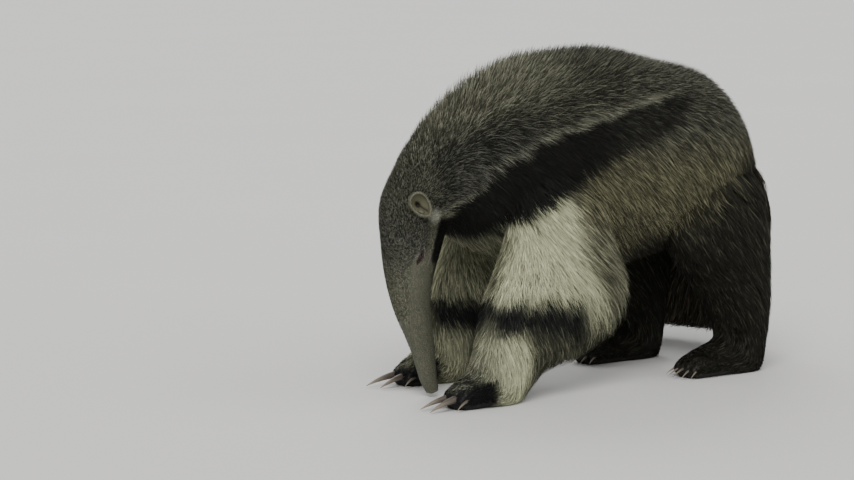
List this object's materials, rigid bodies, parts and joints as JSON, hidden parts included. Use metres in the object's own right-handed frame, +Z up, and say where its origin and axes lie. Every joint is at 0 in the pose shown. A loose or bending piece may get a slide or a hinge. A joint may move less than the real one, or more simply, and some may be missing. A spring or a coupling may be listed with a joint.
{
  "type": "giant anteater, standing and feeding",
  "caption": "Still, life-size giant anteater that stands with its head bent straight down to the ground, mane raised, and its bushy tail curled beside it.",
  "frame": {"origin": "on the floor, under the middle of the whole part", "axes": "+Z up, the animal faces -X, its left side is towards -Y"},
  "size_m": [1.0322, 0.8278, 0.6582],
  "materials": {
    "coat": "long coarse hair, grey and brown with pale tips, and a black stripe edged with white on the shoulder, matt",
    "head_fur": "short close fur, pepper and salt grey, smoother and taupe down the snout, matt",
    "foreleg_fur": "cream white hair with a black band above the wrist, matt",
    "dark_fur": "black brown hair, matt",
    "ear_skin": "pale grey cream skin with fine down, soft satin",
    "eye": "dark wet eye, gloss",
    "claw_horn": "grey brown horn, darker at the root, satin"
  },
  "bodies": {
    "root": {"head": "head_fur", "neck": "coat", "torso": "coat", "tail_base": "coat", "tail_middle": "coat", "tail_end": "coat", "foreleg_left": "foreleg_fur", "foreleg_right": "foreleg_fur", "forefoot_left": "foreleg_fur", "forefoot_right": "foreleg_fur", "hindleg_left": "dark_fur", "hindleg_right": "dark_fur", "hindfoot_left": "dark_fur", "hindfoot_right": "dark_fur", "ear_left": "ear_skin", "ear_right": "ear_skin", "eye_left": "eye", "eye_right": "eye", "claw_fore_left_1": "claw_horn", "claw_fore_left_2": "claw_horn", "claw_fore_left_3": "claw_horn", "claw_fore_left_4": "claw_horn", "claw_fore_right_1": "claw_horn", "claw_fore_right_2": "claw_horn", "claw_fore_right_3": "claw_horn", "claw_fore_right_4": "claw_horn", "claw_hind_left_1": "claw_horn", "claw_hind_left_2": "claw_horn", "claw_hind_left_3": "claw_horn", "claw_hind_left_4": "claw_horn", "claw_hind_left_5": "claw_horn", "claw_hind_right_1": "claw_horn", "claw_hind_right_2": "claw_horn", "claw_hind_right_3": "claw_horn", "claw_hind_right_4": "claw_horn", "claw_hind_right_5": "claw_horn"}
  },
  "joints": []
}
